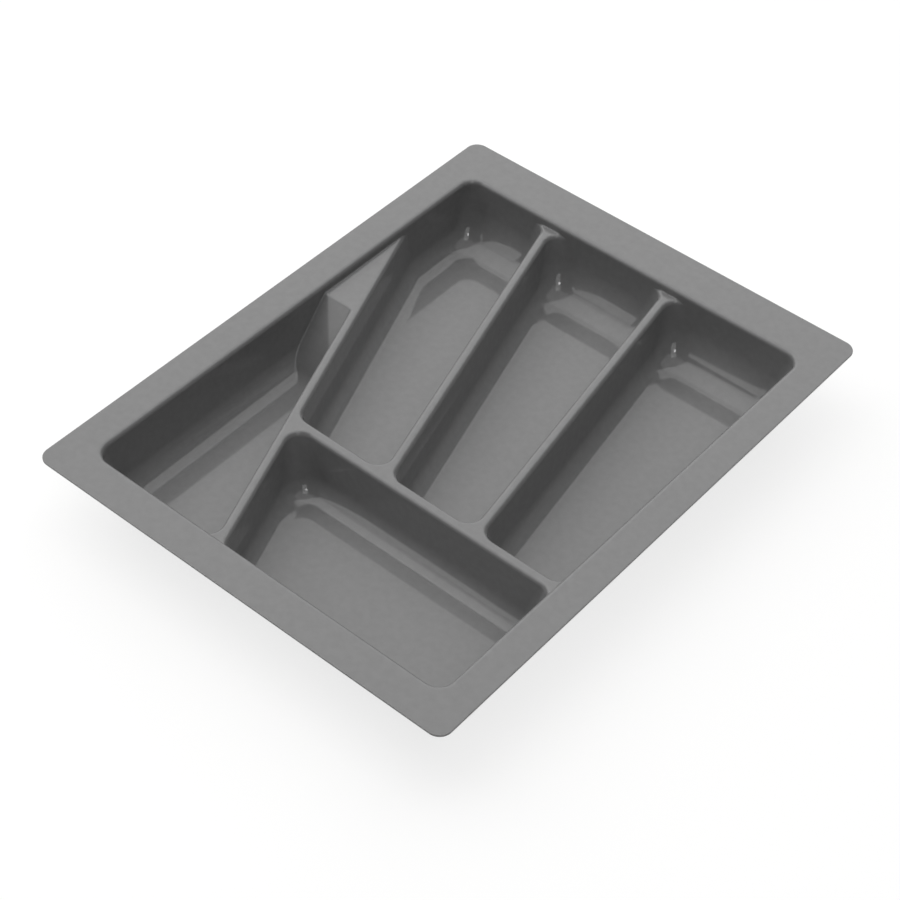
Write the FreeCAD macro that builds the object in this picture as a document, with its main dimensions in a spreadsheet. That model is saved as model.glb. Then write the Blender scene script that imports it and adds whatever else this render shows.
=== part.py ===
import FreeCAD, Part
import Sketcher
import os

# A formed plastic cutlery tray for a kitchen drawer, in millimetres.
# The origin is under the middle of the tray, at the surface that its floors rest on.
# +Y is the back, where the rim is widest, and +Z is up.
# Every wall leans, so each compartment is wider at its mouth than at its floor.

doc = FreeCAD.newDocument("CutleryTray")
sizes = doc.addObject("Spreadsheet::Sheet", "Sizes")

driving_sizes = {
    # overall
    "tray_width": 330.0,
    "tray_depth": 430.0,
    "tray_height": 48.5,
    "plastic_thickness": 1.5,
    "wall_lean_share": 0.07,
    # flat rim, out to the line where it would meet the walls without its rolled edge
    "side_rim": 23.8,
    "front_rim": 26.7,
    "back_rim": 35.9,
    "rim_corner": 9.0,
    "rim_roll": 3.5,
    # divider tops, a step below the rim, placed by shares of the well from its front, left or right wall
    "divider_drop": 6.5,
    "cross_divider_place_share": 0.2976,
    "cross_divider_width": 7.8,
    "long_divider_width": 6.2,
    "left_divider_place_share": 0.5134,
    "left_divider_slant_share": 0.2845,
    "right_divider_place_share": 0.2307,
    "right_divider_slant_share": 0.1625,
    "diagonal_divider_width": 6.6,
    "diagonal_divider_slant_share": 0.369,
    # ledge at the left wall, placed by its share of the well from the front, and the ramp below it
    "ledge_place_share": 0.5773,
    "ledge_width": 24.2,
    "ramp_run": 44.0,
    # rounding of the compartments, at the mouth, along the floor, at the back and round the ramp
    "mouth_corner": 9.0,
    "floor_sweep": 16.0,
    "back_sweep": 28.5,
    "ramp_sweep": 18.0,
    "ramp_corner": 3.0,
    # reach of the flares where divider tops meet, in mouth corners
    "flare_share": 1.5,
    # how far a hollow stands past the solid that it opens
    "overrun": 2.0,
}
for row, (alias, value) in enumerate(driving_sizes.items(), start=1):
    sizes.set(f"A{row}", alias)
    sizes.set(f"B{row}", str(value))
    sizes.setAlias(f"B{row}", alias)
doc.recompute()

# Levels, as depths below the top of the rim
rim_top = "0"
rim_under = "Sizes.plastic_thickness"
divider_top = "Sizes.divider_drop"
divider_under = "(Sizes.divider_drop + Sizes.plastic_thickness)"
mouth = "(Sizes.divider_drop - Sizes.overrun)"
floor_top = "(Sizes.tray_height - Sizes.plastic_thickness)"
floor_under = "Sizes.tray_height"
above_rim = "(-Sizes.overrun)"
below_lip = f"({divider_under} + Sizes.overrun)"

# Level distance between the two faces of a leaning wall, and of the steeper ramp
wall_across = "(Sizes.plastic_thickness * sqrt(1 + Sizes.wall_lean_share^2))"
ramp_lean = f"(Sizes.ramp_run / ({floor_top} - {divider_top}))"
ramp_across = f"(Sizes.plastic_thickness * sqrt(1 + {ramp_lean}^2))"
flare = "(Sizes.mouth_corner * Sizes.flare_share)"


# Plan lines of the outer walls at a depth; grow moves each one away from the middle of its compartment
def left_wall(depth, grow="0"):
    return f"(-Sizes.tray_width / 2 + Sizes.side_rim + Sizes.wall_lean_share * {depth} - {grow})"


def right_wall(depth, grow="0"):
    return f"(Sizes.tray_width / 2 - Sizes.side_rim - Sizes.wall_lean_share * {depth} + {grow})"


def front_wall(depth, grow="0"):
    return f"(-Sizes.tray_depth / 2 + Sizes.front_rim + Sizes.wall_lean_share * {depth} - {grow})"


def back_wall(depth, grow="0"):
    return f"(Sizes.tray_depth / 2 - Sizes.back_rim - Sizes.wall_lean_share * {depth} + {grow})"


# Plan lines of the divider faces, with divider widths measured at the divider tops
def face_offset(half_width, depth, grow):
    return f"({half_width} + Sizes.wall_lean_share * ({depth} - {divider_top}) - {grow})"


well_width = "(Sizes.tray_width - 2 * Sizes.side_rim)"
well_depth = "(Sizes.tray_depth - Sizes.front_rim - Sizes.back_rim)"
cross_middle = f"({front_wall(rim_top)} + Sizes.cross_divider_place_share * {well_depth})"
ledge_front = f"({front_wall(rim_top)} + Sizes.ledge_place_share * {well_depth})"
diagonal_start = f"({left_wall(divider_top)} + Sizes.ledge_width)"


def cross_front(depth, grow="0"):
    return f"({cross_middle} - {face_offset('Sizes.cross_divider_width / 2', depth, grow)})"


def cross_back(depth, grow="0"):
    return f"({cross_middle} + {face_offset('Sizes.cross_divider_width / 2', depth, grow)})"


def slanted_face(start_x, start_y, slant, offset, y):
    return f"({start_x} - {slant} * ({y} - {start_y}) + {offset} * sqrt(1 + {slant}^2))"


def left_divider(side, depth, y, grow="0"):
    start_x = f"({left_wall(rim_top)} + Sizes.left_divider_place_share * {well_width})"
    offset = f"{side} * {face_offset('Sizes.long_divider_width / 2', depth, grow)}"
    return slanted_face(start_x, cross_middle, "Sizes.left_divider_slant_share", offset, y)


def right_divider(side, depth, y, grow="0"):
    start_x = f"({right_wall(rim_top)} - Sizes.right_divider_place_share * {well_width})"
    offset = f"{side} * {face_offset('Sizes.long_divider_width / 2', depth, grow)}"
    return slanted_face(start_x, cross_middle, "Sizes.right_divider_slant_share", offset, y)


def diagonal_left(depth, y, grow="0"):
    offset = f"-1 * {face_offset('0', depth, grow)}"
    return slanted_face(diagonal_start, ledge_front, "Sizes.diagonal_divider_slant_share", offset, y)


def diagonal_right(depth, y, grow="0"):
    offset = face_offset("Sizes.diagonal_divider_width", depth, grow)
    return slanted_face(diagonal_start, ledge_front, "Sizes.diagonal_divider_slant_share", offset, y)


def ledge_tip(depth, grow="0"):
    across = f"({diagonal_right(depth, ledge_front, grow)} - {left_wall(depth, grow)})"
    return f"({ledge_front} + {across} / Sizes.diagonal_divider_slant_share)"


def ramp_line(depth, grow):
    sunk = f"({depth} - {divider_top}) * {ramp_lean}"
    if grow == "0":
        return f"({ledge_front} - {sunk})"
    return f"({ledge_front} - {sunk} + {ramp_across})"


# Plan corners of each compartment at a depth, counter-clockwise from the front left
def wedge_outline(depth, grow="0"):
    front = front_wall(depth, grow)
    back = ramp_line(depth, grow)
    return [
        (left_wall(depth, grow), front),
        (diagonal_left(depth, front, grow), front),
        (diagonal_left(depth, back, grow), back),
        (left_wall(depth, grow), back),
    ]


def left_outline(depth, grow="0"):
    front = cross_back(depth, grow)
    back = back_wall(depth, grow)
    return [
        (diagonal_right(depth, front, grow), front),
        (left_divider(-1, depth, front, grow), front),
        (left_divider(-1, depth, back, grow), back),
        (left_wall(depth, grow), back),
        (left_wall(depth, grow), ledge_tip(depth, grow)),
    ]


def middle_outline(depth, grow="0"):
    front = cross_back(depth, grow)
    back = back_wall(depth, grow)
    return [
        (left_divider(1, depth, front, grow), front),
        (right_divider(-1, depth, front, grow), front),
        (right_divider(-1, depth, back, grow), back),
        (left_divider(1, depth, back, grow), back),
    ]


def right_outline(depth, grow="0"):
    front = cross_back(depth, grow)
    back = back_wall(depth, grow)
    return [
        (right_divider(1, depth, front, grow), front),
        (right_wall(depth, grow), front),
        (right_wall(depth, grow), back),
        (right_divider(1, depth, back, grow), back),
    ]


def front_outline(depth, grow="0"):
    front = front_wall(depth, grow)
    back = cross_front(depth, grow)
    return [
        (diagonal_right(depth, front, grow), front),
        (right_wall(depth, grow), front),
        (right_wall(depth, grow), back),
        (diagonal_right(depth, back, grow), back),
    ]


# Plan corners of the whole well inside the rim, and of the rim itself
def well_outline(depth, grow="0"):
    return [
        (left_wall(depth, grow), front_wall(depth, grow)),
        (right_wall(depth, grow), front_wall(depth, grow)),
        (right_wall(depth, grow), back_wall(depth, grow)),
        (left_wall(depth, grow), back_wall(depth, grow)),
    ]


half_width = "Sizes.tray_width / 2"
half_depth = "Sizes.tray_depth / 2"
rim_outline = [
    (f"-{half_width}", f"-{half_depth}"),
    (half_width, f"-{half_depth}"),
    (half_width, half_depth),
    (f"-{half_width}", half_depth),
]


def value_of(expression):
    return float(sizes.evalExpression(expression))


# Sketches, lofts and rounded edges
def new_body(name):
    body = doc.addObject("PartDesign::Body", name)
    body.Label = name
    return body


def outline_sketch(body, name, points, depth):
    sketch = body.newObject("Sketcher::SketchObject", name)
    plane = [feature for feature in body.Origin.OriginFeatures if feature.Role == "XY_Plane"][0]
    sketch.AttachmentSupport = [(plane, "")]
    sketch.MapMode = "FlatFace"
    sketch.setExpression("AttachmentOffset.Base.z", f"Sizes.tray_height - {depth}")
    corners = [FreeCAD.Vector(value_of(x), value_of(y), 0) for x, y in points]
    count = len(corners)
    for index in range(count):
        sketch.addGeometry(Part.LineSegment(corners[index], corners[(index + 1) % count]), False)
    for index in range(count):
        sketch.addConstraint(Sketcher.Constraint("Coincident", index, 2, (index + 1) % count, 1))
    for index, (x, y) in enumerate(points):
        across = sketch.addConstraint(Sketcher.Constraint("DistanceX", -1, 1, index, 1, corners[index].x))
        sketch.setExpression(f"Constraints[{across}]", x)
        along = sketch.addConstraint(Sketcher.Constraint("DistanceY", -1, 1, index, 1, corners[index].y))
        sketch.setExpression(f"Constraints[{along}]", y)
    return sketch


def add_loft(body, kind, name, outline, upper_depth, lower_depth, grow="0"):
    loft = body.newObject(f"PartDesign::{kind}Loft", name)
    loft.Profile = outline_sketch(body, f"{name}_upper", outline(upper_depth, grow), upper_depth)
    loft.Sections = [outline_sketch(body, f"{name}_lower", outline(lower_depth, grow), lower_depth)]
    loft.Ruled = True
    body.Tip = loft
    doc.recompute()
    return loft


def add_fillet(body, name, edges, radius):
    base = body.Tip
    fillet = body.newObject("PartDesign::Fillet", name)
    fillet.Base = (base, [f"Edge{number}" for number in edges])
    fillet.setExpression("Radius", radius)
    body.Tip = fillet
    doc.recompute()
    return fillet


def numbered(shape, wanted):
    return [number for number, edge in enumerate(shape.Edges, start=1) if wanted(edge)]


def spans(edge, low_depth, high_depth):
    # True where an edge runs from one depth to another, or lies at one depth, within half the sheet
    slack = sizes.plastic_thickness / 2
    low = sizes.tray_height - value_of(low_depth)
    high = sizes.tray_height - value_of(high_depth)
    return abs(edge.BoundBox.ZMin - low) < slack and abs(edge.BoundBox.ZMax - high) < slack


def is_corner(shape, edge):
    # True where two faces meet at an angle, False where one runs on smoothly into the other
    middle = edge.valueAt((edge.FirstParameter + edge.LastParameter) / 2)
    first, second = [
        face.normalAt(*face.Surface.parameter(middle)) for face in shape.ancestorsOfType(edge, Part.Face)
    ]
    return first.cross(second).Length > sizes.wall_lean_share


# A block with the outline of one compartment, rounded tightly at its mouth and widely along its floor
def compartment_block(name, outline, upper, lower, grow, back_sweep, slope_corner, mouth_corner, floor_sweep):
    body = new_body(name)
    walls = add_loft(body, "Additive", f"{name}_walls", outline, upper, lower, grow).Shape
    if back_sweep:
        floor_edges = numbered(walls, lambda edge: spans(edge, lower, lower))
        backmost = max(floor_edges, key=lambda number: walls.Edges[number - 1].CenterOfMass.y)
        walls = add_fillet(body, f"{name}_back", [backmost], back_sweep).Shape
    slack = sizes.plastic_thickness / 2

    def radius_at(place):
        above_floor = place.z - walls.BoundBox.ZMin > slack
        if slope_corner and above_floor and place.y > walls.BoundBox.Center.y:
            return value_of(slope_corner)
        at_mouth = walls.BoundBox.ZMax - place.z < slack
        return value_of(mouth_corner if at_mouth else floor_sweep)

    # each run of edges is rounded from the mouth down
    rounded = []
    for number in numbered(walls, lambda edge: is_corner(walls, edge) and not spans(edge, upper, upper)):
        edge = walls.Edges[number - 1]
        ends = [edge.valueAt(edge.FirstParameter), edge.valueAt(edge.LastParameter)]
        ends.sort(key=lambda place: place.z, reverse=True)
        rounded.append((ends[0].z, number, radius_at(ends[0]), radius_at(ends[1])))
    rounded.sort(reverse=True)
    block = doc.addObject("Part::Fillet", f"{name}_rounded")
    block.Base = body
    block.Edges = [entry[1:] for entry in rounded]
    doc.recompute()
    return block


# The five compartments, each a pan of even thickness open at its top
compartments = {
    "wedge_compartment": (wedge_outline, "Sizes.ramp_sweep", "Sizes.ramp_corner"),
    "left_compartment": (left_outline, "Sizes.back_sweep", None),
    "middle_compartment": (middle_outline, "Sizes.back_sweep", None),
    "right_compartment": (right_outline, "Sizes.back_sweep", None),
    "front_compartment": (front_outline, None, None),
}
sunk_share = f"(({divider_under} - {mouth}) / ({floor_top} - {mouth}))"
lip_corner = f"(Sizes.mouth_corner + (Sizes.floor_sweep - Sizes.mouth_corner) * {sunk_share})"


def outer(radius):
    return radius and f"{radius} + Sizes.plastic_thickness"


hollows = []
pieces = []
for name, (outline, back_sweep, slope_corner) in compartments.items():
    hollow = compartment_block(
        f"{name}_hollow", outline, mouth, floor_top, "0",
        back_sweep, slope_corner, "Sizes.mouth_corner", "Sizes.floor_sweep",
    )
    outside = compartment_block(
        f"{name}_outside", outline, divider_under, floor_under, wall_across,
        outer(back_sweep), outer(slope_corner), outer(lip_corner), outer("Sizes.floor_sweep"),
    )
    pan = doc.addObject("Part::Cut", name)
    pan.Label = name
    pan.Base = outside
    pan.Tool = hollow
    hollows.append(hollow)
    pieces.append(pan)
doc.recompute()

# The flat rim with its rolled inner edge and the short lip that goes down to the divider tops
def inside_rim(edge):
    middle = edge.CenterOfMass
    clear_of_side = abs(middle.x) < value_of(f"{half_width} - Sizes.side_rim / 2")
    return clear_of_side and abs(middle.y) < value_of(f"{half_depth} - Sizes.front_rim / 2")


def rim_edges(low_depth, high_depth):
    return numbered(rim.Shape, lambda edge: spans(edge, low_depth, high_depth))


def loop_edges(depth):
    return numbered(rim.Shape, lambda edge: spans(edge, depth, depth) and inside_rim(edge))


rim = new_body("rim_flange")
plate = rim.newObject("PartDesign::Pad", "rim_plate")
plate.Profile = outline_sketch(rim, "rim_plate_outline", rim_outline, rim_under)
plate.setExpression("Length", "Sizes.plastic_thickness")
rim.Tip = plate
doc.recompute()
add_loft(rim, "Additive", "lip_outside", well_outline, rim_top, divider_under, wall_across)
add_loft(rim, "Subtractive", "well_opening", well_outline, above_rim, below_lip)
add_fillet(rim, "rim_corners", rim_edges(rim_under, rim_top), "Sizes.rim_corner")
add_fillet(rim, "well_corners", rim_edges(divider_under, rim_top), lip_corner)
add_fillet(rim, "lip_corners", rim_edges(divider_under, rim_under), outer(lip_corner))
add_fillet(rim, "roll_under", loop_edges(rim_under), "Sizes.rim_roll - Sizes.plastic_thickness")
add_fillet(rim, "roll_top", loop_edges(rim_top), "Sizes.rim_roll")
pieces.append(rim)

# The divider tops and the ledge, cut from one level sheet inside the lip and open over the hollows
level_sheet = new_body("level_sheet")
add_loft(level_sheet, "Additive", "level_sheet_walls", well_outline, divider_top, divider_under)
all_hollows = doc.addObject("Part::MultiFuse", "all_hollows")
all_hollows.Shapes = hollows

aside = f"(-{flare})"
cross_start = cross_front(divider_top, aside)
cross_end = cross_back(divider_top, aside)
ledge_start = f"({ledge_front} - {flare})"
ledge_end = f"({ledge_tip(divider_top)} + {flare})"
front_end = f"(-{half_depth})"
regions = {
    "cross_divider_top": [
        (diagonal_right(divider_top, cross_start, aside), cross_start),
        (half_width, cross_start),
        (half_width, cross_end),
        (diagonal_right(divider_top, cross_end, aside), cross_end),
    ],
    "left_divider_top": [
        (left_divider(-1, divider_top, cross_end, aside), cross_end),
        (left_divider(1, divider_top, cross_end, aside), cross_end),
        (left_divider(1, divider_top, half_depth, aside), half_depth),
        (left_divider(-1, divider_top, half_depth, aside), half_depth),
    ],
    "right_divider_top": [
        (right_divider(-1, divider_top, cross_end, aside), cross_end),
        (right_divider(1, divider_top, cross_end, aside), cross_end),
        (right_divider(1, divider_top, half_depth, aside), half_depth),
        (right_divider(-1, divider_top, half_depth, aside), half_depth),
    ],
    "diagonal_divider_top": [
        (diagonal_left(divider_top, front_end, aside), front_end),
        (diagonal_right(divider_top, front_end, aside), front_end),
        (diagonal_right(divider_top, ledge_start, aside), ledge_start),
        (diagonal_left(divider_top, ledge_start, aside), ledge_start),
    ],
    "corner_ledge": [
        (f"-{half_width}", ledge_start),
        (diagonal_right(divider_top, ledge_start, aside), ledge_start),
        (diagonal_right(divider_top, ledge_end, aside), ledge_end),
        (f"-{half_width}", ledge_end),
    ],
}
for name, points in regions.items():
    region = new_body(f"{name}_region")
    column = region.newObject("PartDesign::Pad", f"{name}_column")
    column.Profile = outline_sketch(region, f"{name}_plan", points, below_lip)
    column.setExpression("Length", "Sizes.plastic_thickness + 2 * Sizes.overrun")
    region.Tip = column
    blank = doc.addObject("Part::Common", f"{name}_blank")
    blank.Base = level_sheet
    blank.Tool = region
    top = doc.addObject("Part::Cut", name)
    top.Label = name
    top.Base = blank
    top.Tool = all_hollows
    pieces.append(top)
doc.recompute()

# Nothing is written unless every step and every piece came out sound
for item in doc.Objects:
    if "Invalid" in item.State or "Error" in item.State:
        raise RuntimeError(f"{item.Label} failed: {item.getStatusString()}")
for piece in pieces:
    if piece.Shape.isNull() or not piece.Shape.isValid() or len(piece.Shape.Solids) != 1:
        raise RuntimeError(f"{piece.Label} is not one sound solid")
os.makedirs("parts", exist_ok=True)
for piece in pieces:
    piece.Shape.exportStep(f"parts/{piece.Label}.step")
    print(f"{piece.Label}: {piece.Shape.Volume:.0f} cubic mm")
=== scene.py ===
import math
import bpy
import bmesh
import numpy as np
from mathutils import Matrix, Vector
from mathutils.geometry import delaunay_2d_cdt


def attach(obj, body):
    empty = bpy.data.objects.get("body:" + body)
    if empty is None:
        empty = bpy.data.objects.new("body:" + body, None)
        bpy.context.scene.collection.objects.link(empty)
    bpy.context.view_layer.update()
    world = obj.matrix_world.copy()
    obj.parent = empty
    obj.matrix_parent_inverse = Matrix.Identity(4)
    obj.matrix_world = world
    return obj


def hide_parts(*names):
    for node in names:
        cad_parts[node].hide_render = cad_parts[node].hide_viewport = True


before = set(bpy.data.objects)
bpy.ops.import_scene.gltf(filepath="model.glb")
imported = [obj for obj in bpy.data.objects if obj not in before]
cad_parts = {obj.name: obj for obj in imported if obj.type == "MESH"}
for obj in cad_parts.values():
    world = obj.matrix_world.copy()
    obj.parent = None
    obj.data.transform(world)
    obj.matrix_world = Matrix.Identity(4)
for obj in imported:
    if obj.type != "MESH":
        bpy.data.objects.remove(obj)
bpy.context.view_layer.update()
print("frame loaded:", len(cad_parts), "nodes")

mm = 0.001

# one formed sheet, so all pieces share these; millimetres
sheet = {
    "width": 330, "depth": 430, "height": 48.5, "lean": 0.07,
    "thickness": 1.5, "floorThickness": 0.9,  # forming thins the floors
    "leftRim": 24.6, "rightRim": 23, "frontRim": 26.7, "backRim": 34.8,
    "dividerDrop": 6.5, "dividerRoll": 3,
    "mouthCorner": 9, "floorCorner": 21, "mouthRise": 2,  # corner radii, divider tops to floor
    "sharpAngle": 35,  # degrees; gentler bends are shaded smooth
}
thick = sheet["thickness"]
lean = sheet["lean"]
topZ = sheet["height"]
dividerZ = topZ - sheet["dividerDrop"]
seamZ = dividerZ - thick  # pans end here, under the divider tops and the lip
mouthZ = dividerZ + sheet["mouthRise"]
wellLeft = sheet["leftRim"] - sheet["width"] / 2
wellRight = sheet["width"] / 2 - sheet["rightRim"]
wellWidth = wellRight - wellLeft
wellDepth = sheet["depth"] - sheet["frontRim"] - sheet["backRim"]
frontY = sheet["frontRim"] - sheet["depth"] / 2

# places are shares of the well, a slant is the run to the left per run to the back
dividers = {
    "crossPlace": 0.2967, "crossWidth": 7.8, "longWidth": 7.2,
    "leftPlace": 0.5118, "leftSlant": 0.2845, "rightPlace": 0.2323, "rightSlant": 0.1625,
    "diagonalWidth": 7.2, "diagonalSlant": 0.369, "ledgePlace": 0.5756, "ledgeWidth": 23.4, "rampRun": 42,
}
stepIn = lean * sheet["dividerDrop"]  # the walls lean in this much between rim and divider tops
crossY = frontY + dividers["crossPlace"] * wellDepth
ledgeY = frontY + dividers["ledgePlace"] * wellDepth
leftX = wellLeft + dividers["leftPlace"] * wellWidth
rightX = wellRight - dividers["rightPlace"] * wellWidth
diagonalX = wellLeft + stepIn + dividers["ledgeWidth"]
halfLong = dividers["longWidth"] / 2
halfCross = dividers["crossWidth"] / 2
rampLean = dividers["rampRun"] / (dividerZ - thick)


def straight(x, y, distance):
    return np.array((x, y), float), distance


def slanted(x, y, slant, side, offset):
    length = math.hypot(1, slant)
    return side * np.array((1, slant)) / length, side * (x + slant * y) / length + offset


walls = {  # inward normal and distance of every wall at the level of the divider tops
    "left": straight(1, 0, stepIn + wellLeft),
    "right": straight(-1, 0, stepIn - wellRight),
    "front": straight(0, 1, frontY + stepIn),
    "back": straight(0, -1, stepIn - frontY - wellDepth),
    "crossFront": straight(0, -1, halfCross - crossY),
    "crossBack": straight(0, 1, halfCross + crossY),
    "leftDividerLeft": slanted(leftX, crossY, dividers["leftSlant"], -1, halfLong),
    "leftDividerRight": slanted(leftX, crossY, dividers["leftSlant"], 1, halfLong),
    "rightDividerLeft": slanted(rightX, crossY, dividers["rightSlant"], -1, halfLong),
    "rightDividerRight": slanted(rightX, crossY, dividers["rightSlant"], 1, halfLong),
    "diagonalLeft": slanted(diagonalX, ledgeY, dividers["diagonalSlant"], -1, 0),
    "diagonalRight": slanted(diagonalX, ledgeY, dividers["diagonalSlant"], 1, dividers["diagonalWidth"]),
    "ramp": straight(0, -1, -ledgeY),
}
rimWalls = ("left", "right", "front", "back")
useFirst = (1, 0, 0)  # a ring has three insets and three radii; a wall or corner uses one, or a mix
useSecond = (0, 1, 0)
useThird = (0, 0, 1)


# one row per outline point: where it is, and how it moves with each wall's inset and the corner's radius
def outlineTable(names, families, cornerFamilies, steps):
    rows = []
    for k, name in enumerate(names):
        before = names[k - 1]
        (normalA, distanceA), (normalB, distanceB) = walls[before], walls[name]
        slide = np.linalg.inv(np.array((normalA, normalB)))  # how the corner moves as a wall moves in
        corner = slide @ np.array((distanceA, distanceB))
        toA = np.array((-normalA[1], normalA[0]))
        toB = np.array((normalB[1], -normalB[0]))
        angle = math.acos(np.clip(toA @ toB, -1, 1))
        toCentre = (toA + toB) / np.linalg.norm(toA + toB) / math.sin(angle / 2)
        startArm = toA / math.tan(angle / 2) - toCentre
        endArm = toB / math.tan(angle / 2) - toCentre
        turn = math.pi - angle
        for step in range(steps + 1):
            share = step / steps
            swung = math.sin((1 - share) * turn) * startArm + math.sin(share * turn) * endArm
            ramp = share if name == "ramp" else 0
            if before == "ramp":
                ramp = 1 - share
            rows.append({
                "corner": corner, "slideA": slide[:, 0], "slideB": slide[:, 1],
                "round": toCentre + swung / math.sin(turn), "ramp": ramp,
                "familyA": families.get(before, useFirst), "familyB": families.get(name, useFirst),
                "radiusFamily": cornerFamilies.get((before, name), useFirst),
            })
    return rows


def ringPoints(rows, insets, radii):
    points = []
    for row in rows:
        insetA = np.dot(insets, row["familyA"])
        insetB = np.dot(insets, row["familyB"])
        moved = row["corner"] + row["slideA"] * insetA + row["slideB"] * insetB
        points.append(moved + row["round"] * np.dot(radii, row["radiusFamily"]))
    return np.array(points)


def addNode(tree, kind, inputs=None, **settings):
    node = tree.nodes.new(kind)
    for name, value in settings.items():
        setattr(node, name, value)
    for key, value in (inputs or {}).items():
        if isinstance(value, bpy.types.NodeSocket):
            tree.links.new(value, node.inputs[key])
        else:
            node.inputs[key].default_value = value
    return node


def linear(hexColour):
    channels = [int(hexColour[k:k + 2], 16) / 255 for k in (1, 3, 5)]
    return [c / 12.92 if c <= 0.04045 else ((c + 0.055) / 1.055) ** 2.4 for c in channels] + [1]


# high-impact polystyrene, vacuum formed: satin skin that still mirrors the walls in the floor,
# with a faint mould grain, slow waves and a slight mottle of the grey; sizes in millimetres
plastic = {
    "dark": "#747474", "light": "#787878", "mottle": 5, "mottleDetail": 2,
    "rough": 0.07, "roughSpread": 0.02, "ior": 1.42,
    "grain": 0.7, "grainHeight": 0.002, "grainDetail": 2,  # real grain is finer, drawn this coarse to show
    "wave": 55, "waveHeight": 0.02, "waveDetail": 1,
    "noiseLow": 0.3, "noiseHigh": 0.7,  # most of a noise pattern lies between these
}
trayPlastic = bpy.data.materials.new("polystyreneVacuumFormedSatin")
trayPlastic.use_nodes = True
shade = trayPlastic.node_tree
shader = shade.nodes["Principled BSDF"]
shader.inputs["IOR"].default_value = plastic["ior"]
where = addNode(shade, "ShaderNodeTexCoord").outputs["Object"]


def plasticNoise(pattern):
    scale = 1 / (plastic[pattern] * mm)
    settings = {"Vector": where, "Scale": scale, "Detail": plastic[pattern + "Detail"]}
    return addNode(shade, "ShaderNodeTexNoise", settings).outputs[0]


def fromNoise(noise, low, high):
    return addNode(shade, "ShaderNodeMapRange", {
        "Value": noise, "From Min": plastic["noiseLow"], "From Max": plastic["noiseHigh"],
        "To Min": low, "To Max": high,
    }).outputs[0]


wave = plasticNoise("wave")
grain = plasticNoise("grain")
mottle = fromNoise(plasticNoise("mottle"), 0, 1)
grey = addNode(shade, "ShaderNodeMixRGB", {
    0: mottle, 1: linear(plastic["dark"]), 2: linear(plastic["light"]),
})
shade.links.new(grey.outputs[0], shader.inputs["Base Color"])
smoothest = plastic["rough"] - plastic["roughSpread"]
roughest = plastic["rough"] + plastic["roughSpread"]
shade.links.new(fromNoise(wave, smoothest, roughest), shader.inputs["Roughness"])
sag = addNode(shade, "ShaderNodeBump", {
    "Height": wave, "Distance": plastic["waveHeight"] * mm, "Strength": 1,
})
skin = addNode(shade, "ShaderNodeBump", {
    "Height": grain, "Distance": plastic["grainHeight"] * mm, "Strength": 1, "Normal": sag.outputs[0],
})
shade.links.new(skin.outputs[0], shader.inputs["Normal"])
print("material ready")

weldDistance = 0.001 * mm


# the loft tree: every point of the outline is carried along every point of the profile
def makeLoftTree():
    tree = bpy.data.node_groups.new("loftOutlineByProfile", "GeometryNodeTree")
    sockets = {
        "Geometry": "NodeSocketGeometry", "Profile": "NodeSocketObject", "Outline Points": "NodeSocketInt",
        "Profile Points": "NodeSocketInt", "Material": "NodeSocketMaterial",
    }
    for name, kind in sockets.items():
        tree.interface.new_socket(name, in_out="INPUT", socket_type=kind)
    tree.interface.new_socket("Geometry", in_out="OUTPUT", socket_type="NodeSocketGeometry")
    given = addNode(tree, "NodeGroupInput").outputs
    outline = given["Geometry"]
    profile = addNode(tree, "GeometryNodeObjectInfo", {"Object": given["Profile"]}).outputs["Geometry"]
    asVector = {"data_type": "FLOAT_VECTOR"}

    def whole(operation, first, second):
        node = addNode(tree, "FunctionNodeIntegerMath", {0: first, 1: second}, operation=operation)
        return node.outputs[0]

    def vector(operation, inputs):
        return addNode(tree, "ShaderNodeVectorMath", inputs, operation=operation).outputs

    def sampled(source, name, at):
        if name == "position":
            field = addNode(tree, "GeometryNodeInputPosition")
        else:
            field = addNode(tree, "GeometryNodeInputNamedAttribute", {"Name": name}, **asVector)
        inputs = {"Geometry": source, "Value": field.outputs[0], "Index": at}
        return addNode(tree, "GeometryNodeSampleIndex", inputs, **asVector).outputs[0]

    def scaledBy(direction, table, family):
        amount = vector("DOT_PRODUCT", {0: table, 1: family})["Value"]
        return vector("SCALE", {0: direction, "Scale": amount})[0]

    index = addNode(tree, "GeometryNodeInputIndex").outputs[0]
    column = whole("DIVIDE_FLOOR", index, given["Profile Points"])
    around = whole("MODULO", column, given["Outline Points"])
    along = whole("MODULO", index, given["Profile Points"])
    columns = whole("ADD", given["Outline Points"], 1)  # the last column lies on the first
    size = {"Vertices X": columns, "Vertices Y": given["Profile Points"]}
    grid = addNode(tree, "GeometryNodeMeshGrid", size)
    insets = sampled(profile, "insets", along)
    radii = sampled(profile, "radii", along)
    start = {0: sampled(outline, "position", around), 1: sampled(profile, "position", along)}
    place = vector("ADD", start)[0]
    moves = [("slideA", insets, "familyA"), ("slideB", insets, "familyB"), ("round", radii, "radiusFamily")]
    for direction, table, family in moves:
        move = scaledBy(sampled(outline, direction, around), table, sampled(outline, family, around))
        place = vector("ADD", {0: place, 1: move})[0]
    shaped = addNode(tree, "GeometryNodeSetPosition", {"Geometry": grid.outputs["Mesh"], "Position": place})
    weld = {"Geometry": shaped.outputs[0], "Distance": weldDistance}
    closed = addNode(tree, "GeometryNodeMergeByDistance", weld)
    solid = addNode(tree, "GeometryNodeRealizeInstances", {"Geometry": closed.outputs[0]}).outputs[0]
    finished = addNode(tree, "GeometryNodeSetMaterial", {"Geometry": solid, "Material": given["Material"]})
    addNode(tree, "NodeGroupOutput", {"Geometry": finished.outputs[0]})
    return tree


loftTree = makeLoftTree()


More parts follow.
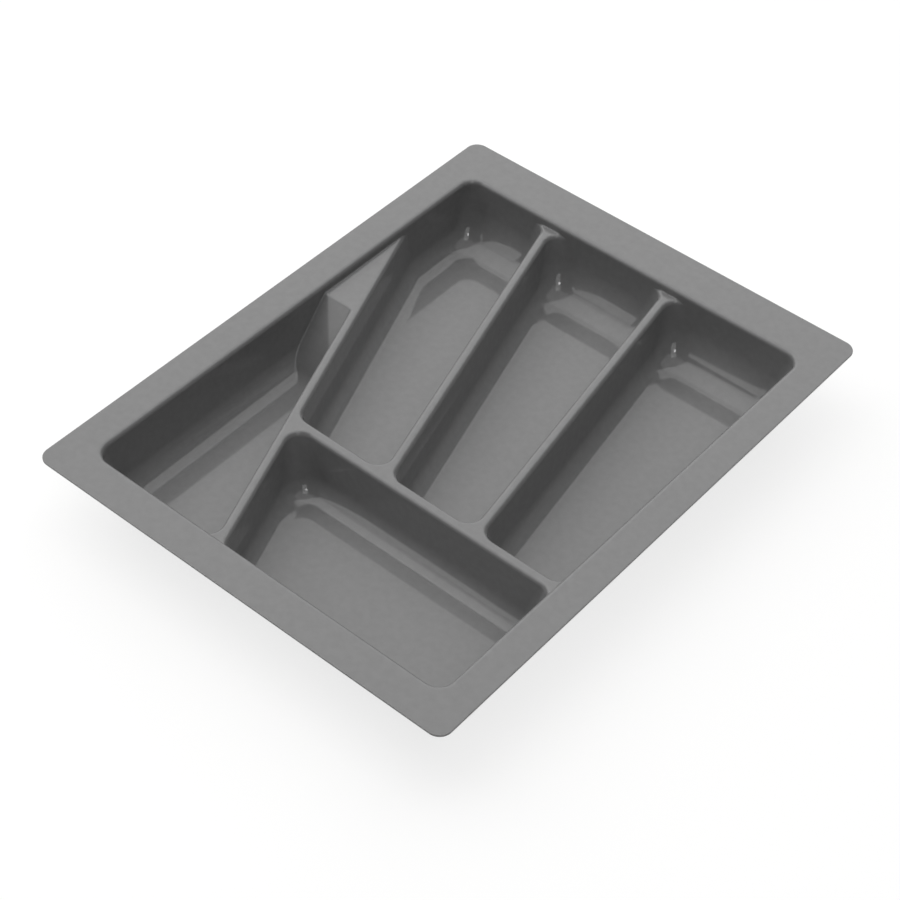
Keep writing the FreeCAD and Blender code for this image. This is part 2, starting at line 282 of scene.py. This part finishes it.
def pointObject(name, points, fields):
    mesh = bpy.data.meshes.new(name)
    mesh.from_pydata([tuple(p) for p in points], [], [])
    for key, values in fields.items():
        attribute = mesh.attributes.new(key, "FLOAT_VECTOR", "POINT")
        attribute.data.foreach_set("vector", np.array(values, np.float32).ravel())
    piece = bpy.data.objects.new(name, mesh)
    bpy.context.scene.collection.objects.link(piece)
    return piece


def flat3(row, key, scale=1.0):
    return (row[key][0] * scale, row[key][1] * scale, 0)


def loft(name, rows, rings):
    fields = {key: [flat3(row, key) for row in rows] for key in ("slideA", "slideB", "round")}
    fields.update({key: [row[key] for row in rows] for key in ("familyA", "familyB", "radiusFamily")})
    piece = pointObject(name, [flat3(row, "corner", mm) for row in rows], fields)
    profile = pointObject(name + "Profile", [(0, 0, ring[0] * mm) for ring in rings], {
        "insets": [[value * mm for value in ring[1]] for ring in rings],
        "radii": [[value * mm for value in ring[2]] for ring in rings],
    })
    modifier = piece.modifiers.new("loft", "NODES")
    modifier.node_group = loftTree
    values = {
        "Profile": profile, "Material": trayPlastic,
        "Outline Points": len(rows), "Profile Points": len(rings),
    }
    for item in loftTree.interface.items_tree:
        if item.name in values and item.in_out == "INPUT":
            modifier[item.identifier] = values[item.name]
    bpy.context.view_layer.update()
    mesh = bpy.data.meshes.new_from_object(piece.evaluated_get(bpy.context.evaluated_depsgraph_get()))
    piece.modifiers.clear()
    piece.data = mesh
    mesh.name = name
    bpy.data.objects.remove(profile)
    return piece


def finishPiece(piece, node, sharpAngle):
    mesh = piece.data
    work = bmesh.new()
    work.from_mesh(mesh)
    rims = [edge for edge in work.edges if edge.is_boundary]
    if rims:
        bmesh.ops.holes_fill(work, edges=rims, sides=0)  # flat floors
    bmesh.ops.recalc_face_normals(work, faces=work.faces)
    work.to_mesh(mesh)
    work.free()
    if trayPlastic.name not in mesh.materials:
        mesh.materials.append(trayPlastic)
    mesh.polygons.foreach_set("use_smooth", [True] * len(mesh.polygons))
    mesh.set_sharp_from_angle(angle=math.radians(sharpAngle))
    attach(piece, "root")
    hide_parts(node)


# the five pans: thin walls leaning out, swept into flat floors; the wedge has a ramp for its back
panMesh = {
    "sweepSteps": 14, "cornerSteps": 12, "leastRadius": 0.8, "floorMargin": 0.5,
    "levelDigits": 3, "ringGap": 0.04, "ringGapShare": 0.02, "seamClear": 3,  # spacing of rings up a wall
    "rollLevels": (0, 0.4, 0.8, 1.1, 1.3, 1.42, 1.48),  # above the roll's start, closer near the seam
}
pans = {
    "wedge_compartment": {
        "walls": ["front", "diagonalLeft", "ramp", "left"], "back": "ramp", "backLean": rampLean,
        "sweep": 17, "innerSweep": 10, "innerLean": lean, "backSweep": 14, "backCorner": 1.5,
    },
    "left_compartment": {
        "walls": ["crossBack", "leftDividerLeft", "back", "left", "diagonalRight"],
        "back": "back", "backLean": lean,
        "sweep": 16.5, "innerSweep": 15, "innerLean": 0.1, "backSweep": 28.5, "backCorner": None,
    },
    "middle_compartment": {
        "walls": ["crossBack", "rightDividerLeft", "back", "leftDividerRight"],
        "back": "back", "backLean": lean,
        "sweep": 16, "innerSweep": 15, "innerLean": 0.1, "backSweep": 28.5, "backCorner": None,
    },
    "right_compartment": {
        "walls": ["crossBack", "right", "back", "rightDividerRight"], "back": "back", "backLean": lean,
        "sweep": 16, "innerSweep": 15, "innerLean": 0.1, "backSweep": 28.5, "backCorner": None,
    },
    "front_compartment": {
        "walls": ["front", "right", "crossFront", "diagonalRight"], "back": None, "backLean": lean,
        "sweep": 16, "innerSweep": 14, "innerLean": 0.09, "backSweep": 16, "backCorner": None,
    },
}


def wallInset(z, slope, sweep, floorZ, grow):
    length = math.hypot(1, slope)
    rise = z - floorZ
    if rise >= sweep * (1 - slope / length):
        return slope * (dividerZ - z) - grow * length
    middle = slope * (dividerZ - floorZ - sweep) + (sweep - grow) * length
    return middle - math.sqrt(max(0, sweep ** 2 - (sweep - rise) ** 2))


def cornerRadius(z):
    share = (mouthZ - z) / (mouthZ - thick)
    return sheet["mouthCorner"] + (sheet["floorCorner"] - sheet["mouthCorner"]) * share


def ringLevels(sweeps, floorZ):
    turns = [math.pi / 2 * k / panMesh["sweepSteps"] for k in range(panMesh["sweepSteps"])]
    rises = [sweep * (1 - math.cos(turn)) for sweep in sweeps for turn in turns]
    levels = {round(rise, panMesh["levelDigits"]) for rise in rises}
    levels = sorted(level for level in levels if level < seamZ - floorZ - panMesh["seamClear"])
    kept = [levels[0]]
    for level in levels[1:]:
        if level - kept[-1] > panMesh["ringGap"] + panMesh["ringGapShare"] * level:
            kept.append(level)
    rolls = [dividerZ - sheet["dividerRoll"] + rise for rise in panMesh["rollLevels"]]
    return [floorZ + level for level in kept] + rolls + [seamZ]  # divider walls roll over below the seam


def rolledOut(z, radius):
    rise = max(0, min(radius, z - dividerZ + sheet["dividerRoll"]))
    return radius - math.sqrt(radius ** 2 - rise ** 2)


def panRings(pan, floorZ, grow):
    plain = pan["sweep"] + grow
    back = pan["backSweep"] + grow
    inner = pan["innerSweep"] + grow
    rings = []
    for z in ringLevels((plain, back, inner), floorZ):
        side = wallInset(z, lean, plain, floorZ, grow)
        rear = wallInset(z, pan["backLean"], back, floorZ, grow)
        swept = side - (lean * (dividerZ - z) - grow * math.hypot(1, lean))
        radius = max(cornerRadius(z) + grow - swept, panMesh["leastRadius"])
        out = rolledOut(z, sheet["dividerRoll"] - grow)
        ramped = pan["backCorner"] + grow if pan["backCorner"] else radius
        divider = wallInset(z, pan["innerLean"], inner, floorZ, grow) - out
        rings.append((z, (side, rear, divider), (radius, ramped, radius + out)))
    z, insets, radii = rings[0]
    margin = panMesh["floorMargin"]  # a narrow flat ring, so that the floor is shaded flat
    floorInsets = tuple(value + margin for value in insets)
    floorRadii = tuple(max(value - margin, margin) for value in radii)
    return [(z, floorInsets, floorRadii)] + rings


mouths = {}
for name, pan in pans.items():
    families = {wall: useThird for wall in pan["walls"] if wall not in rimWalls}
    families[pan["back"]] = useSecond
    cornerFamilies = {}
    for k, wall in enumerate(pan["walls"]):
        pair = (pan["walls"][k - 1], wall)
        if pan["backCorner"] and pan["back"] in pair:
            cornerFamilies[pair] = useSecond
        elif pair[0] not in rimWalls and pair[1] not in rimWalls:
            cornerFamilies[pair] = useThird
    rows = outlineTable(pan["walls"], families, cornerFamilies, panMesh["cornerSteps"])
    inside = panRings(pan, sheet["floorThickness"], 0)
    outside = panRings(pan, 0, thick)
    mouths[name] = (rows, inside[-1])
    piece = loft(name + "_formed", rows, outside + inside[::-1])
    finishPiece(piece, name, sheet["sharpAngle"])
    print(name, len(piece.data.polygons), "faces")

# the rim: flat flange with a trimmed outer edge, a rolled inner edge and the lip down to the pans
rim = {
    "corner": 9, "cornerSteps": 12, "roll": 3.5, "rollSteps": 10,
    "trim": 0.35, "trimSteps": 4, "margin": 0.6,
}
rightShare = (sheet["rightRim"] - sheet["frontRim"]) / (sheet["leftRim"] - sheet["frontRim"])
rimFamilies = {  # three widths are carried, and the right rim's is mixed from the left's and the front's
    "left": useFirst, "front": useSecond, "back": useThird, "right": (rightShare, 1 - rightShare, 0),
}
rimRows = outlineTable(["front", "right", "back", "left"], rimFamilies, {}, rim["cornerSteps"])
rimOut = [-sheet[name] - stepIn for name in ("leftRim", "frontRim", "backRim")]
lipRadius = cornerRadius(seamZ)
lipInset = lean * thick
lipBack = lipInset - thick * math.hypot(1, lean)


def rimRing(z, inward):
    return (z, (inward,) * 3, (lipRadius + lipInset - inward,) * 3)


def edgeRing(z, inward):
    return (z, tuple(value + inward for value in rimOut), (rim["corner"] - inward,) * 3)


def roundEdge(centreZ, startAngle):
    rings = []
    for k in range(rim["trimSteps"] + 1):
        angle = math.radians(startAngle + 90 * k / rim["trimSteps"])
        rings.append(edgeRing(centreZ + rim["trim"] * math.sin(angle), rim["trim"] * (1 - math.cos(angle))))
    return rings


def rolledEdge(radius):
    length = math.hypot(1, lean)
    centreZ = topZ - rim["roll"]
    middle = lean * (dividerZ - centreZ) - rim["roll"] * length
    rings = []
    for k in range(rim["rollSteps"] + 1):
        angle = math.pi / 2 - (math.pi / 2 - math.atan(lean)) * k / rim["rollSteps"]
        rings.append(rimRing(centreZ + radius * math.sin(angle), middle + radius * math.cos(angle)))
    return rings


rollTop = rolledEdge(rim["roll"])
rollUnder = rolledEdge(rim["roll"] - thick)
underZ = topZ - thick
flatStart = rim["trim"] + rim["margin"]
topFlatEnd = rollTop[0][1][0] - rim["margin"]  # just short of the roll's first ring
underFlatEnd = rollUnder[0][1][0] - rim["margin"]
rimRings = roundEdge(underZ + rim["trim"], -90) + roundEdge(topZ - rim["trim"], 0)
rimRings += [edgeRing(topZ, flatStart), rimRing(topZ, topFlatEnd)]
rimRings += rollTop + [rimRing(seamZ, lipInset), rimRing(seamZ, lipBack)] + rollUnder[::-1]
rimRings += [rimRing(underZ, underFlatEnd), edgeRing(underZ, flatStart)]
rimRings += [rimRings[0]]
rimPiece = loft("rim_flange_formed", rimRows, rimRings)
finishPiece(rimPiece, "rim_flange", sheet["sharpAngle"])
print("rim", len(rimPiece.data.polygons), "faces")

# divider tops and ledge: one level between the mouths, every edge rolled over into the walls
tops = {
    "rollSteps": 8, "bend": 2.5, "fillet": 0.6, "filletSteps": 4, "flare": 13.5, "sharpAngle": 50,
    "rollGuard": 0.2,  # one more line just past the roll keeps the rest flat
    "splitBefore": 50, "splitAfter": 150,  # the line between ledge and dividers runs this far out
    "touching": 0.001, "weld": 0.0001, "noLength": 1e-12,
    "wallReach": 1, "tuck": 0.02,  # an edge this near to a side of the well leans out a little past it
}
rollRadius = sheet["dividerRoll"]
seamAngle = math.asin((rollRadius - thick) / rollRadius)
rollWidth = rollRadius * math.cos(seamAngle)  # what is left of the roll above the seam
rollTurn = math.pi / 2 - seamAngle
rollAngles = [seamAngle + rollTurn * k / tops["rollSteps"] for k in range(tops["rollSteps"] + 1)]
rollOuts = [rollWidth - rollRadius * math.cos(angle) for angle in rollAngles]


def distanceTo(points, ring, weights=None):
    along = np.roll(ring, -1, axis=0) - ring
    offset = points[:, None, :] - ring[None]
    share = np.clip((offset * along).sum(2) / np.maximum((along ** 2).sum(1), tops["noLength"]), 0, 1)
    gaps = np.linalg.norm(offset - share[..., None] * along, axis=2)
    nearest = gaps.argmin(1)
    rowIndex = np.arange(len(points))
    if weights is None:
        return gaps[rowIndex, nearest]
    at = share[rowIndex, nearest]
    following = np.roll(weights, -1)
    return gaps[rowIndex, nearest], weights[nearest] * (1 - at) + following[nearest] * at


def insideOf(points, ring):
    end = np.roll(ring, -1, axis=0)
    x = points[:, 0][:, None]
    y = points[:, 1][:, None]
    crosses = (ring[:, 1] > y) != (end[:, 1] > y)
    rise = np.where(end[:, 1] == ring[:, 1], 1, end[:, 1] - ring[:, 1])
    reach = ring[:, 0] + (y - ring[:, 1]) * (end[:, 0] - ring[:, 0]) / rise
    return (crosses & (x < reach)).sum(1) % 2 == 1


def offsetRing(rows, ring, out):
    return ringPoints(rows, [value - out for value in ring[1]], [value + out for value in ring[2]])


wellRing = rimRing(seamZ, lipInset)
wellLine = offsetRing(rimRows, wellRing, 0)
mouthLines = {name: offsetRing(rows, ring, 0) for name, (rows, ring) in mouths.items()}
mouthRamps = {name: np.array([row["ramp"] for row in rows]) for name, (rows, ring) in mouths.items()}


def topHeights(points):
    bend = tops["bend"]
    turn = math.atan(1 / rampLean)
    bendEnd = rampLean * thick + bend * math.tan(turn / 2)
    bendStart = bendEnd - bend * math.sin(turn)
    height = np.full(len(points), thick)
    for name, line in mouthLines.items():
        gap, ramp = distanceTo(points, line, mouthRamps[name])
        rolled = np.sqrt(rollRadius ** 2 - np.maximum(0, rollWidth - gap) ** 2) - rollRadius + thick
        bent = thick - bend + np.sqrt(np.maximum(0, bend ** 2 - np.maximum(0, bendEnd - gap) ** 2))
        sloped = np.where(gap < bendStart, gap / rampLean, bent)
        height = np.minimum(height, rolled * (1 - ramp) + np.minimum(sloped, thick) * ramp)
    hollow = tops["fillet"]
    wallGap = distanceTo(points, wellLine)
    raised = hollow - np.sqrt(np.maximum(0, hollow ** 2 - np.maximum(0, hollow - wallGap) ** 2))
    return seamZ + height + raised * height / thick


def sideOf(points, name):
    normal, distance = walls[name]
    return points @ normal - distance


crossEnd = crossY + halfCross + tops["flare"]
ledgeStart = ledgeY - tops["flare"]
slant = dividers["diagonalSlant"]
splitX = diagonalX + (dividers["diagonalWidth"] + tops["flare"]) * math.hypot(1, slant)


def splitAt(y):
    return splitX - slant * (y - ledgeY)


flatVerts = []
flatEdges = []


def addLine(points, closed=True):
    first = len(flatVerts)
    flatVerts.extend(Vector(p) for p in points)
    count = len(points)
    flatEdges.extend((first + k, first + (k + 1) % count) for k in range(count if closed else count - 1))


for rows, ring in mouths.values():
    for out in rollOuts + [rollWidth + tops["rollGuard"]]:
        addLine(offsetRing(rows, ring, out))
for k in range(tops["filletSteps"] + 1):
    filletIn = tops["fillet"] * (1 - math.cos(math.pi / 2 * k / tops["filletSteps"]))
    addLine(offsetRing(rimRows, wellRing, -filletIn))
addLine([(-wellWidth, crossEnd), (wellWidth, crossEnd)], False)
addLine([(splitAt(y), y) for y in (frontY - tops["splitBefore"], ledgeY + tops["splitAfter"])], False)
addLine([(-wellWidth, ledgeStart), (splitAt(ledgeStart), ledgeStart)], False)
planned = delaunay_2d_cdt(flatVerts, flatEdges, [], 0, tops["weld"])
plan = np.array([(v.x, v.y) for v in planned[0]], float)
triangles = np.array(planned[2])
centres = plan[triangles].mean(1)
kept = insideOf(centres, wellLine)
for line in mouthLines.values():
    kept &= ~insideOf(centres, line)
heights = topHeights(plan)

# where the tops meet the lip they lean out with it
onWell = distanceTo(plan, wellLine) < tops["touching"]
fromMiddle = plan - np.array([(wellLeft + wellRight) / 2, frontY + wellDepth / 2])
nearWall = np.abs(np.abs(fromMiddle) - np.array([wellWidth / 2, wellDepth / 2])) < tops["wallReach"]
pushed = np.sign(fromMiddle) * nearWall
leansOut = plan.copy()
leansOut[onWell] += pushed[onWell] * (lean * (heights[onWell] - seamZ) + tops["tuck"])[:, None]

# which piece each triangle belongs to
leftOfSplit = centres[:, 0] < splitAt(centres[:, 1])
region = np.where(leftOfSplit & (centres[:, 1] > ledgeStart), "corner_ledge", "")
region = np.where(leftOfSplit & (region == ""), "diagonal_divider_top", region)
region = np.where((region == "") & (centres[:, 1] < crossEnd), "cross_divider_top", region)
nearLeft = np.abs(sideOf(centres, "leftDividerRight")) < np.abs(sideOf(centres, "rightDividerRight"))
region = np.where((region == "") & nearLeft, "left_divider_top", region)
region = np.where(region == "", "right_divider_top", region)

for name in sorted(set(region)):
    work = bmesh.new()
    upper = {}
    lower = {}
    ends = {}
    for corners in triangles[kept & (region == name)]:
        if all(heights[k] - seamZ < tops["touching"] for k in corners):
            continue
        for k in corners:
            if k in upper:
                continue
            lower[k] = work.verts.new((plan[k][0] * mm, plan[k][1] * mm, seamZ * mm))
            upper[k] = lower[k]
            if heights[k] - seamZ >= tops["touching"]:
                upper[k] = work.verts.new((leansOut[k][0] * mm, leansOut[k][1] * mm, heights[k] * mm))
        a, b, c = corners
        work.faces.new([upper[k] for k in (a, b, c)])
        work.faces.new([lower[k] for k in (c, b, a)])
        for first, second in ((a, b), (b, c), (c, a)):
            ends[(first, second)] = True
    for first, second in ends:
        if (second, first) not in ends:
            sideFace = []
            for vert in (lower[first], lower[second], upper[second], upper[first]):
                if vert not in sideFace:
                    sideFace.append(vert)
            if len(sideFace) > 2:
                work.faces.new(sideFace)
    mesh = bpy.data.meshes.new(name + "_formed")
    work.to_mesh(mesh)
    work.free()
    piece = bpy.data.objects.new(name + "_formed", mesh)
    bpy.context.scene.collection.objects.link(piece)
    finishPiece(piece, name, tops["sharpAngle"])
    print(name, len(mesh.polygons), "faces")

# studio: white paper under a large soft box at the back left and a long box overhead, with a small box low
# at the front left, a strip and a small lamp beside the camera, and a dim even fill
studio = {
    "floor": "#fbfbfa", "floorSize": 9, "floorDrop": 0.1 * mm, "floorRough": 0.9,
    "paperGlow": 0.78, "fill": 0.02,
}
lamps = {  # degrees, metres and watts
    "softBox": {"azimuth": 145, "height": 51, "distance": 3.2, "size": (7.4, 5.2), "power": 204},
    "topBox": {"azimuth": 186, "height": 80, "distance": 3.2, "size": (2.4, 7.2), "power": 46},
    "lowBox": {"azimuth": 236, "height": 34.4, "distance": 3.2, "size": (1.0, 1.37), "power": 7.6},
    "cameraStrip": {"azimuth": -37, "height": 49, "distance": 3.4, "size": (0.9, 2.2), "power": 12.5},
    "cameraLamp": {"azimuth": -44, "height": 52, "distance": 3.3, "size": (0.36, 0.36), "power": 4},
}
floorMesh = bpy.data.meshes.new("studioFloor")
half = studio["floorSize"] / 2
floorCorners = [(x * half, y * half, -studio["floorDrop"]) for x, y in ((-1, -1), (1, -1), (1, 1), (-1, 1))]
floorMesh.from_pydata(floorCorners, [], [(0, 1, 2, 3)])
floor = bpy.data.objects.new("studioFloor", floorMesh)
bpy.context.scene.collection.objects.link(floor)
paper = bpy.data.materials.new("matteBackgroundPaper")
paper.use_nodes = True
paperTree = paper.node_tree
paperShader = paperTree.nodes["Principled BSDF"]
paperShader.inputs["Base Color"].default_value = linear(studio["floor"])
paperShader.inputs["Roughness"].default_value = studio["floorRough"]


def paperMath(operation, first, second):
    return addNode(paperTree, "ShaderNodeMath", {0: first, 1: second}, operation=operation).outputs[0]


path = addNode(paperTree, "ShaderNodeLightPath").outputs
seen = paperMath("MAXIMUM", path["Is Camera Ray"], path["Is Glossy Ray"])
seen = paperMath("MAXIMUM", seen, path["Is Transmission Ray"])
glow = paperMath("MULTIPLY", seen, studio["paperGlow"])
white = addNode(paperTree, "ShaderNodeEmission", {"Color": (1, 1, 1, 1), "Strength": 1})
mixed = addNode(paperTree, "ShaderNodeMixShader", {0: glow, 1: paperShader.outputs[0], 2: white.outputs[0]})
paperTree.links.new(mixed.outputs[0], paperTree.nodes["Material Output"].inputs["Surface"])
floorMesh.materials.append(paper)
for name, lamp in lamps.items():
    light = bpy.data.lights.new(name, "AREA")
    light.shape = "RECTANGLE"
    light.size, light.size_y = lamp["size"]
    light.energy = lamp["power"]
    lightOb = bpy.data.objects.new(name, light)
    bpy.context.scene.collection.objects.link(lightOb)
    azimuth = math.radians(lamp["azimuth"])
    height = math.radians(lamp["height"])
    flat = math.cos(height)
    out = Vector((flat * math.cos(azimuth), flat * math.sin(azimuth), math.sin(height)))
    lightOb.location = out * lamp["distance"]
    lightOb.rotation_euler = out.to_track_quat("Z", "Y").to_euler()
    lightOb.visible_camera = False
world = bpy.data.worlds.new("dimRoom")
world.use_nodes = True
room = world.node_tree.nodes["Background"]
room.inputs["Color"].default_value = (1, 1, 1, 1)
room.inputs["Strength"].default_value = studio["fill"]
bpy.context.scene.world = world

# camera worked out from the rim's outline in the photo
view = {
    "lens": 87.438, "sensor": 36, "place": (0.61463, -0.79388, 1.03447),
    "right": (0.76542, 0.64268, 0.03316), "up": (-0.4788, 0.5343, 0.6966),
    "forward": (-0.42994, 0.54904, -0.71673),
}
camera = bpy.data.cameras.new("photoCamera")
camera.lens = view["lens"]
camera.sensor_width = view["sensor"]
cameraOb = bpy.data.objects.new("photoCamera", camera)
bpy.context.scene.collection.objects.link(cameraOb)
axes = Matrix((view["right"], view["up"], [-value for value in view["forward"]])).transposed()
cameraOb.matrix_world = Matrix.Translation(view["place"]) @ axes.to_4x4()
bpy.context.scene.camera = cameraOb
bpy.context.scene.view_settings.view_transform = "Standard"
print("studio ready")
